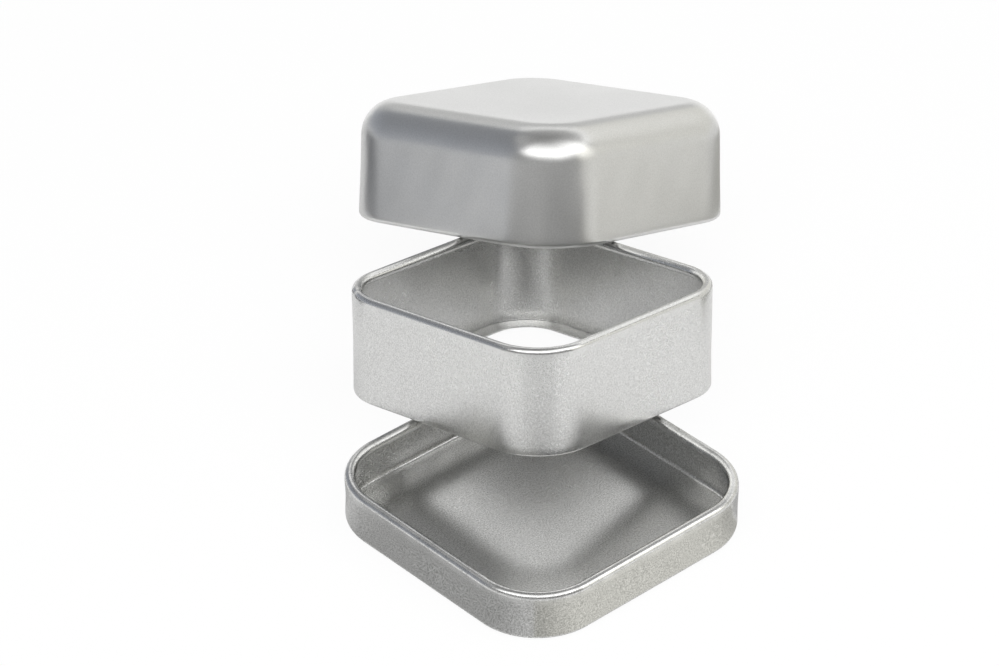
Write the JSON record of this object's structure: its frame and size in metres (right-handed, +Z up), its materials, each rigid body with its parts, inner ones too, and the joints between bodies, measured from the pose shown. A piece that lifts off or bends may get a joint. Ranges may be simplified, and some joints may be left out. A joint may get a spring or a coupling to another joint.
{
  "type": "square tin box",
  "caption": "Square tin box with rounded corners, taken apart: a shallow tray, an open collar leaning on the tray's rim and a slip lid leaning on the collar, all with rolled edges.",
  "frame": {"origin": "centre of the tray's flat underside, on the table", "axes": "+Z up; +X and +Y along the tray's sides; the collar and the lid are fanned out towards +X +Y"},
  "size_m": [0.1214, 0.1252, 0.0472],
  "materials": {
    "tinplate": "satin"
  },
  "bodies": {
    "tray": {"tray": "tinplate"},
    "collar": {"collar": "tinplate"},
    "lid": {"lid": "tinplate"}
  },
  "joints": [
    {"name": "collar_lift", "type": "slide", "parent": "tray", "child": "collar", "axis": [0.1416, 0.1682, 0.9755], "range_m": [0, 0.03]},
    {"name": "lid_lift", "type": "slide", "parent": "collar", "child": "lid", "axis": [0.2634, 0.2776, 0.9239], "range_m": [0, 0.04]}
  ]
}
